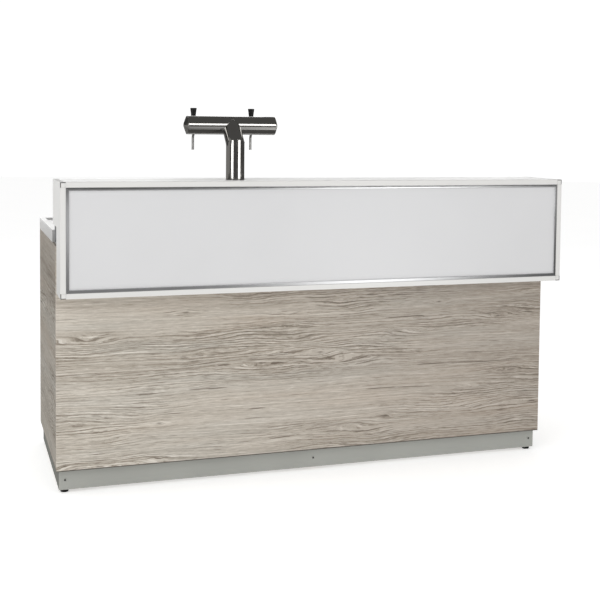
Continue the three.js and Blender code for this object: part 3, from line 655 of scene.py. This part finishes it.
def tap(side):
    x = TAP_X[side]
    wall = CROSS_Y + TUBE_R
    # barrel with collar, hexagon and a turned step
    g = Geo()
    o = (x, wall, CROSS_Z)
    g.lathe([(0, -19.5), (10.2, -19.5), (10.9, -18.6), (10.9, 1.5), (15.4, 1.5), (16.0, 2.2), (16.0, 4.0), (15.2, 4.8), (11.2, 5.0), (11.2, 14.8), (12.4, 15.4),
             (12.9, 17.0), (12.4, 18.6), (11.0, 19.4), (10.4, 30.0), (10.2, 60.0), (10.6, 84.0), (10.6, 99.0), (0, 99.0)], o, "y", 56)
    g.lathe([(0, 5.2), (12.6, 5.2), (14.0, 6.0), (14.0, 13.6), (12.6, 14.4), (0, 14.4)], o, "y", 6)
    make("tap_%s_barrel" % side, g.v, g.f, M_STEEL, "counter", "tap_body_" + side)
    # forked head
    g = Geo()
    e = EAR_Z - CROSS_Z
    g.lathe([(0, -24.0), (8.4, -24.0), (9.2, -23.2), (11.4, -20.4), (12.9, -15.5), (13.4, -12.0), (13.9, -11.4), (13.9, -8.6), (13.4, -8.0), (13.7, 0), (14.0, 6.0),
             (14.0, e - 3.0), (13.4, e - 1.2), (12.0, e - 0.2), (10.6, e), (0, e)], (x, TAP_Y, CROSS_Z), "z", 56)
    head = make("tap_%s_head" % side, g.v, g.f, M_STEEL, "counter")
    c = Geo()
    c.block(x - 3.95, x + 3.95, TAP_Y - 22, TAP_Y + 22, PIVOT_Z - 6.7, EAR_Z + 6)
    boolean(head, loose("slot", c))
    c = Geo()
    c.lathe([(0, -31), (5.25, -31), (5.25, -8.5), (0, -8.5)], (x, TAP_Y, CROSS_Z), "z", 40)
    boolean(head, loose("bore", c))
    # pivot screw heads on both ears
    g = Geo()
    for s in (-1, 1):
        a = ((s, 0, 0), (0, 1, 0), (0, 0, s))
        g.lathe([(0, 12.2), (3.4, 12.2), (3.4, 13.9), (2.9, 14.5), (0, 14.7)], (x, TAP_Y, PIVOT_Z), a, 32)
    make("tap_%s_pivot" % side, g.v, g.f, M_ZINC, "counter")
    # spout: open bent tube with a rolled mouth
    zs = CROSS_Z
    path = [(x, TAP_Y, zs - 10.2), (x, TAP_Y, zs - 20), (x, TAP_Y, zs - 30)]
    for k in range(1, 13):
        t = k / 12
        w = t * t * (3 - 2 * t)
        path.append((x, TAP_Y + 9 * w, zs - 30 - 20 * t))
    for k in range(1, 8):
        path.append((x, TAP_Y + 9, zs - 50 + (1266.5 - (zs - 50)) * k / 7))
    g = Geo()
    n = len(path)
    out = [Vector(p) for p in path]
    seg = 32
    rings = []

    def ring(i, r):
        t = (out[min(i + 1, n - 1)] - out[max(i - 1, 0)]).normalized()
        a = Vector((1, 0, 0))
        b = t.cross(a)
        return [out[i] + (a * math.cos(2 * math.pi * j / seg) + b * math.sin(2 * math.pi * j / seg)) * r for j in range(seg)]

    for i in range(n):
        rings.append(ring(i, 4.9 if i < n - 1 else 5.0))
    rings.append(ring(n - 1, 4.4))
    for i in range(n - 1, -1, -1):
        rings.append(ring(i, 3.9))
    g.rings(rings, False, True)
    make("tap_%s_spout_tube" % side, g.v, g.f, M_SATIN, "counter", "tap_spout_" + side)
    # lever
    body = "tap_handle_" + side
    g = Geo()
    g.lathe([(0, -3.55), (5.3, -3.55), (5.9, -3.0), (5.9, 3.0), (5.3, 3.55), (0, 3.55)], (x, TAP_Y, PIVOT_Z), "x", 48)
    g.lathe([(0, 1.0), (3.4, 1.0), (3.4, 12.0), (3.45, 12.4), (3.45, 33.4), (2.8, 34.0), (0, 34.0)], (x, TAP_Y, PIVOT_Z), "z", 40)
    make("tap_%s_lever_eye" % side, g.v, g.f, M_CHROME, body, "tap_lever_" + side)
    # knob: waisted black cone with a crisp top rim and a shallow dished face
    kz = PIVOT_Z + 15
    h = 1430.0 - kz
    g = Geo()
    g.lathe([(3.7, 0.0), (7.4, 0.0), (8.0, 0.5), (8.4, 1.4), (8.7, 5.0), (9.7, 14.0), (11.2, h - 12.0), (12.3, h - 4.6), (12.55, h - 2.6), (12.5, h - 1.4), (12.0, h - 0.4),
             (11.3, h), (10.3, h - 0.1), (9.4, h - 0.7), (4.4, h - 1.2), (0.0, h - 1.3), (0.0, 20.0), (3.7, 20.0)], (x, TAP_Y, kz), "z", 56, True)
    make("tap_%s_knob_body" % side, g.v, g.f, M_BLACK, body, "tap_knob_" + side)


tap("left")
tap("right")


# ---- bright trim: flat face between two bevels, mitred at the corners ----------------
def trims():
    a0, a1, b0, b1 = 21.3, 1978.7, 764.8, 1137.7
    t, g0 = 11.2, 0.2
    y1 = -144.0
    sec = [(0.0, 0.0), (0.0, 2.5), (0.12, 2.95), (0.45, 3.32), (0.95, 3.54), (1.5, 3.6), (9.7, 3.6), (10.25, 3.54), (10.75, 3.32), (11.08, 2.95), (11.2, 2.5), (11.2, 0.0)]

    def strip(name, fn):
        g = Geo()
        g.rings([[(fn(w, e)[0], y1 - d, fn(w, e)[1]) for w, d in sec] for e in (0, 1)])
        make(name + "_profile", g.v, g.f, M_CHROME, "counter", name, smooth=25.0)

    strip("trim_bottom", lambda w, e: ((a0 + g0 + w) if e == 0 else (a1 - g0 - w), b0 + w))
    strip("trim_top", lambda w, e: ((a0 + g0 + w) if e == 0 else (a1 - g0 - w), b1 - w))
    strip("trim_left", lambda w, e: (a0 + w, (b0 + g0 + w) if e == 0 else (b1 - g0 - w)))
    strip("trim_right", lambda w, e: (a1 - w, (b0 + g0 + w) if e == 0 else (b1 - g0 - w)))


trims()


# ---- corner pieces: moulded caps with a shadow joint on their outer edges -------------
def corner(name, sx, sz):
    lo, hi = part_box(name)
    x0 = 2.0 if sx > 0 else 1979.0
    z0 = 745.5 if sz > 0 else 1138.0
    xo = x0 if sx > 0 else x0 + 19.0          # outer edge
    zo = z0 if sz > 0 else z0 + 19.0
    g = Geo()
    # core set back behind the joint, then the raised face pad and the outer flange
    cx = sorted((xo + sx * 0.35, xo + sx * 18.7))
    cz = sorted((zo + sz * 0.35, zo + sz * 18.7))
    g.block(cx[0], cx[1], -147.5, -128.2, cz[0], cz[1], 1)
    e = 2.9
    px = sorted((xo + sx * e, xo + sx * 18.8))
    pz = sorted((zo + sz * e, zo + sz * 18.8))
    c = 0.7
    face = [(px[0], pz[0]), (px[1], pz[0]), (px[1], pz[1]), (px[0], pz[1])]

    def inset(k):
        return [(px[0] + k, pz[0] + k), (px[1] - k, pz[0] + k), (px[1] - k, pz[1] - k), (px[0] + k, pz[1] - k)]

    g.rings([[(a, y, b) for a, b in q] for y, q in ((-147.2, face), (-147.7, face), (-147.92, inset(c * 0.35)), (-148.0, inset(c)))])
    # thin outer walls that finish flush with the cheek and the top
    w = 0.30
    ox = sorted((xo, xo + sx * w))
    oz = sorted((zo, zo + sz * 19.0))
    g.block(ox[0], ox[1], -146.9, -128.2, oz[0], oz[1])
    ox = sorted((xo + sx * w, xo + sx * 18.8))
    oz = sorted((zo, zo + sz * w))
    g.block(ox[0], ox[1], -146.9, -128.2, oz[0], oz[1])
    # spigots that plug into the hollow rails
    s = sorted((xo + sx * 18.0, xo + sx * 45.0))
    g.block(s[0], s[1], -146.0, -130.0, z0 + 2.0, z0 + 17.0)
    s = sorted((zo + sz * 18.0, zo + sz * 45.0))
    g.block(x0 + 2.0, x0 + 17.0, -146.0, -130.0, s[0], s[1])
    make(name + "_cap", g.v, g.f, M_WHITE, "counter", name, mats=[M_WHITE, M_GAP], slots=g.s)


corner("frame_corner_bottom_left", 1, 1)
corner("frame_corner_bottom_right", -1, 1)
corner("frame_corner_top_left", 1, -1)
corner("frame_corner_top_right", -1, -1)


# ---- levelling feet and plinth screws -------------------------------------------------
def foot(node):
    lo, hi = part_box(node)
    cx, cy = (lo[0] + hi[0]) / 2 * 1000 + 1000, (lo[1] + hi[1]) / 2 * 1000 + 289.5
    g = Geo()
    g.lathe([(0, 0.0), (12.6, 0.0), (14.2, 0.3), (14.85, 1.0), (15.0, 1.8), (15.0, 5.8), (14.8, 6.6), (14.2, 7.4), (12.8, 8.6), (10.4, 9.6), (8.6, 10.2), (0, 10.2)],
            (cx, cy, 0), "z", 56)
    g.lathe([(0, 10.0), (7.6, 10.0), (8.1, 10.5), (8.1, 15.4), (7.6, 15.9), (0, 15.9)], (cx, cy, 0), "z", 6)
    prof = [(0, 15.8), (4.5, 15.8)]
    z = 16.4
    while z < 58.5:
        prof += [(4.95, z), (4.45, z + 0.75)]
        z += 1.5
    prof += [(4.2, 59.4), (3.4, 60.0), (0, 60.0)]
    g.lathe(prof, (cx, cy, 0), "z", 32)
    make(node + "_pad", g.v, g.f, M_BLACK, node, node)


for n in list(NODES):
    if n.startswith("levelling_foot"):
        foot(n)


def screw(node):
    lo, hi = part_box(node)
    cx, cz = (lo[0] + hi[0]) / 2 * 1000 + 1000, (lo[2] + hi[2]) / 2 * 1000
    y0 = 17.5
    g = Geo()
    g.lathe([(1.9, 0.9), (2.05, 0.02), (2.6, 0.0), (3.6, 0.25), (4.35, 0.8), (4.75, 1.6), (4.8, 2.15), (4.7, 2.3), (2.0, 2.3), (2.0, 11.8), (0.3, 12.9), (0, 12.9), (0, 0.9)],
            (cx, y0, cz), "y", 40, True)
    # cross recess walls
    for k in range(4):
        a = k * math.pi / 2 + math.pi / 4
        px, pz = cx + 1.15 * math.cos(a), cz + 1.15 * math.sin(a)
        g.block(px - 0.55, px + 0.55, y0 + 0.1, y0 + 1.2, pz - 0.55, pz + 0.55)
    o = make(node + "_head", g.v, g.f, M_PLINTH, "counter", node, mats=[M_PLINTH, M_GAP])
    at = P(cx, y0, cz)
    for p in o.data.polygons:
        d = p.center - at
        if math.hypot(d.x, d.z) < 0.0033 and d.y < 0.0014:
            p.material_index = 1


for n in ("plinth_screw_left", "plinth_screw_middle", "plinth_screw_right"):
    screw(n)


# ---- floor, studio and light -----------------------------------------------------------
def stage_mesh(name, verts, faces, mat):
    me = bpy.data.meshes.new(name)
    me.from_pydata(verts, [], faces)
    me.materials.append(mat)
    o = bpy.data.objects.new(name, me)
    bpy.context.scene.collection.objects.link(o)
    return o


def emitter(name, col, strength):
    m = bpy.data.materials.new(name)
    m.use_nodes = True
    t = m.node_tree
    t.nodes.clear()
    out = t.nodes.new("ShaderNodeOutputMaterial")
    e = t.nodes.new("ShaderNodeEmission")
    e.inputs[0].default_value = (*col, 1.0)
    e.inputs[1].default_value = strength
    t.links.new(e.outputs[0], out.inputs[0])
    return m


def only(o, camera=False, diffuse=False, glossy=False, shadow=False):
    o.visible_camera = camera
    o.visible_diffuse = diffuse
    o.visible_glossy = glossy
    o.visible_transmission = False
    o.visible_volume_scatter = False
    o.visible_shadow = shadow
    return o


fm = Mat("pale_floor", 0.7, 0.0, Specular_IOR_Level=0.2, Emission_Color=(1.0, 1.0, 1.0, 1.0), Emission_Strength=0.46)
fm.color(fm.ramp(fm.noise(fm.obj, 1.2, 3.0, 0.5), [(0.3, (0.865, 0.865, 0.86)), (0.7, (0.88, 0.88, 0.875))]))
R = 28.0
N = 64
floor = stage_mesh("floor", [(R * math.cos(2 * math.pi * i / N), R * math.sin(2 * math.pi * i / N), 0.0) for i in range(N)], [list(range(N))], fm.m)
floor.visible_glossy = False

# white surround seen only as the backdrop
dome_v, dome_f = [], []
for i in range(17):
    el = -math.pi / 2 * 0.12 + (math.pi / 2 * 1.12) * i / 16
    for j in range(N):
        a = 2 * math.pi * j / N
        dome_v.append((R * 0.99 * math.cos(a) * math.cos(el), R * 0.99 * math.sin(a) * math.cos(el), R * 0.99 * math.sin(el)))
for i in range(16):
    for j in range(N):
        dome_f.append([i * N + j, i * N + (j + 1) % N, (i + 1) * N + (j + 1) % N, (i + 1) * N + j])
only(stage_mesh("backdrop", dome_v, dome_f, emitter("white_backdrop", (1, 1, 1), 1.05)), camera=True)


# dim studio walls seen in the bright metal
def arc(name, r, z0, z1, a0, a1, strength, n=24):
    v, f = [], []
    for i in range(n + 1):
        a = math.radians(a0 + (a1 - a0) * i / n)
        for z in (z0, z1):
            v.append((r * math.sin(a), -r * math.cos(a), z))
    for i in range(n):
        f.append([2 * i, 2 * i + 2, 2 * i + 3, 2 * i + 1])
    return only(stage_mesh(name, v, f, emitter(name + "_tone", (1, 0.985, 0.96), strength)), glossy=True)


def disc(name, r, z, strength):
    return only(stage_mesh(name, [(r * math.cos(2 * math.pi * i / N), r * math.sin(2 * math.pi * i / N), z) for i in range(N)], [list(range(N))],
                           emitter(name + "_tone", (1, 0.985, 0.96), strength)), glossy=True)


# azimuth 0 is the guest side (-Y), 90 is +X, 180 the bartender side
arc("studio_left", 9.0, 0.0, 8.0, -114, -82, 0.34, 16)
arc("studio_left_low", 9.0, 0.0, 1.36, -150, -114, 0.34, 16)
arc("studio_left_high", 9.0, 1.36, 8.0, -150, -114, 0.07, 16)
arc("studio_front", 9.0, 0.0, 8.0, -82, 150, 0.10, 48)
arc("studio_back_low", 9.0, 0.0, 1.36, 150, 210, 0.32, 24)
arc("studio_back_high", 9.0, 1.36, 8.0, 150, 210, 0.10, 24)
disc("studio_ceiling", 9.0, 7.9, 0.12)
disc("studio_floor", 9.0, -0.02, 0.24)

# grey card in the plane of the bar top, so that the tap mirrors a dim shelf
NODES["bar_top"].visible_glossy = False
only(stage_mesh("bar_card", [P(25, -126, 1148), P(1975, -126, 1148), P(1975, 132, 1148), P(25, 132, 1148)], [[0, 1, 2, 3]],
                emitter("bar_card_tone", (1, 0.98, 0.95), 0.11)), glossy=True)

# low reflector in front, brightest in its middle, mirrored by the trim
gm = Mat("reflector_tone")
gm.t.nodes.clear()
gout = gm.t.nodes.new("ShaderNodeOutputMaterial")
gem = gm.t.nodes.new("ShaderNodeEmission")
gm.t.links.new(gem.outputs[0], gout.inputs[0])
gm.tc = gm.t.nodes.new("ShaderNodeTexCoord")
gx, gy, gz = gm.sep(gm.tc.outputs["Object"])


def bell(at, width):
    d = gm.math("DIVIDE", gm.math("SUBTRACT", gx, at), width)
    return gm.math("EXPONENT", gm.math("MULTIPLY", gm.math("MULTIPLY", d, d), -1.0))


gb = gm.math("SUBTRACT", gm.smooth(gz, 0.72, 0.95, 0.20, 0.42), gm.smooth(gz, 1.03, 1.09, 0.0, 0.20))
gb = gm.math("MULTIPLY", gb, gm.smooth(gx, -0.9, 1.3, 1.1, 0.50))
gb = gm.math("MULTIPLY_ADD", bell(0.40, 0.43), gm.smooth(gz, 0.85, 1.0, 1.2, 0.0), gb)
gb = gm.math("MULTIPLY_ADD", bell(0.50, 0.53), gm.smooth(gz, 0.95, 1.06, 0.0, 2.1), gb)
gm.put(gem.inputs[1], gb)
only(stage_mesh("reflector", [(-2.0, -0.9375, 0.0), (3.0, -0.9375, 0.0), (3.0, -0.9375, 1.115), (-2.0, -0.9375, 1.115)], [[0, 1, 2, 3]], gm.m), glossy=True)

world = bpy.data.worlds.new("studio")
bpy.context.scene.world = world
world.use_nodes = True
bg = world.node_tree.nodes["Background"]
bg.inputs[0].default_value = (1.0, 1.0, 1.0, 1.0)
bg.inputs[1].default_value = 0.66
world.cycles_visibility.glossy = False


def area(name, at, look, size, size_y, power, gloss_for=None):
    d = bpy.data.lights.new(name, "AREA")
    d.shape = "RECTANGLE"
    d.size, d.size_y = size, size_y
    d.energy = power
    o = bpy.data.objects.new(name, d)
    bpy.context.scene.collection.objects.link(o)
    o.location = at
    o.rotation_mode = "QUATERNION"
    o.rotation_quaternion = (Vector(look) - Vector(at)).to_track_quat("-Z", "Y")
    o.visible_camera = False
    o.visible_glossy = gloss_for is not None
    o.visible_diffuse = gloss_for is None
    if gloss_for is not None:
        o.light_linking.receiver_collection = gloss_for
    return o


area("key", (-3.6, -3.2, 3.9), (0.0, 0.0, 0.7), 2.6, 2.0, 46.0)
area("top", (0.2, 0.6, 4.2), (0.0, 0.0, 0.5), 4.0, 3.0, 22.0)
area("left_fill", (-5.0, 0.4, 3.2), (-1.0, 0.0, 1.0), 2.4, 2.0, 22.0)


# softboxes mirrored in the polished tap, and a soft top light on the steel worktop
def group(name, test):
    g = bpy.data.collections.new(name)
    for o in bpy.context.scene.objects:
        if o.type == "MESH" and test(o.name):
            g.objects.link(o)
    return g


tap_metal = group("tap_metal", lambda n: n.startswith("tap_"))
work_metal = group("work_metal", lambda n: n.startswith(("worktop_sheet", "drip_")))
bar_lam = group("bar_lam", lambda n: n.startswith("bar_top"))
trim_metal = group("trim_metal", lambda n: n.startswith("trim_"))
trim_upper = group("trim_upper", lambda n: n.startswith("trim_top"))
cpos = P(COL_X, COL_Y, 1200)


def softbox(name, a0, a1, dist, z0, z1, strength):
    a = math.radians((a0 + a1) / 2)
    at = cpos + Vector((math.sin(a), -math.cos(a), 0.0)) * dist
    at.z = (z0 + z1) / 2
    w = 2 * dist * math.tan(math.radians(a1 - a0) / 2)
    return area(name, at, (cpos.x, cpos.y, at.z), w, z1 - z0, strength * 4.0 * w * (z1 - z0), tap_metal)


softbox("softbox_right", 24.5, 51.5, 4.0, 0.3, 2.0, 2.5)
softbox("softbox_left", -63.5, -37.5, 4.0, 0.3, 2.0, 2.5)
area("softbox_upper", (0.47, -3.29, 1.98), (-0.33, -0.24, 1.36), 0.9, 1.0, 2.5 * 4.0 * 0.9 * 1.0, tap_metal)
area("softbox_back", (0.1, 3.8, 2.65), (-0.33, -0.24, 1.36), 1.8, 1.1, 1.7 * 4.0 * 1.8 * 1.1, tap_metal)
area("softbox_top", (-0.95, 1.56, 4.24), (-0.95, -0.24, 1.36), 1.7, 1.5, 1.0 * 4.0 * 1.7 * 1.5, tap_metal)
area("bar_gloss", (1.0, 6.0, 1.6), (0.2, -0.2, 1.15), 12.0, 3.0, 1.2 * 4.0 * 36.0, bar_lam)
area("top_gloss", (0.0, 0.6, 3.6), (0.0, 0.2, 0.9), 5.0, 3.0, 0.55 * 4.0 * 15.0, work_metal)
area("back_gloss", (-1.0, 6.0, 2.2), (-0.6, 0.2, 0.95), 9.0, 3.4, 1.1 * 4.0 * 30.6, work_metal)
area("trim_gloss", (0.95, -2.5, 2.9), (0.3, -0.43, 1.1), 0.9, 2.4, 1.1 * 4.0 * 0.9 * 2.4, trim_metal)
area("trim_gloss_right", (1.95, -2.5, 2.9), (0.45, -0.43, 1.13), 1.1, 2.4, 1.1 * 4.0 * 1.1 * 2.4, trim_upper)
area("bar_gloss_left", (-0.55, 5.9, 1.6), (-0.8, -0.2, 1.15), 2.1, 3.0, 0.4 * 4.0 * 2.1 * 3.0, bar_lam)
area("bar_gloss_right", (4.8, 5.9, 1.6), (0.85, -0.2, 1.15), 2.4, 3.0, 0.5 * 4.0 * 2.4 * 3.0, bar_lam)

# ---- camera ---------------------------------------------------------------------------
YAW, PITCH, ROLL = math.radians(18.128), math.radians(3.063), math.radians(0.542)
fwd = Vector((math.sin(YAW) * math.cos(PITCH), math.cos(YAW) * math.cos(PITCH), -math.sin(PITCH)))
right = Vector((math.cos(YAW), -math.sin(YAW), 0.0))
upv = right.cross(fwd)
rx = right * math.cos(ROLL) + upv * math.sin(ROLL)
ux = -right * math.sin(ROLL) + upv * math.cos(ROLL)
cd = bpy.data.cameras.new("camera")
cam = bpy.data.objects.new("camera", cd)
bpy.context.scene.collection.objects.link(cam)
mw = Matrix((rx, ux, -fwd)).transposed().to_4x4()
mw.translation = P(-356.719, -3925.838, 1336.028)
cam.matrix_world = mw
cd.sensor_fit = "HORIZONTAL"
cd.sensor_width = 36.0
cd.lens = 36.0 * 1065.72 / 600.0
cd.shift_y = (190.0 - 300.0) / 600.0
cd.clip_start, cd.clip_end = 0.05, 200.0
bpy.context.scene.camera = cam

vs = bpy.context.scene.view_settings
vs.view_transform = "Standard"
vs.look = "None"
vs.exposure = 0.0
vs.gamma = 1.0
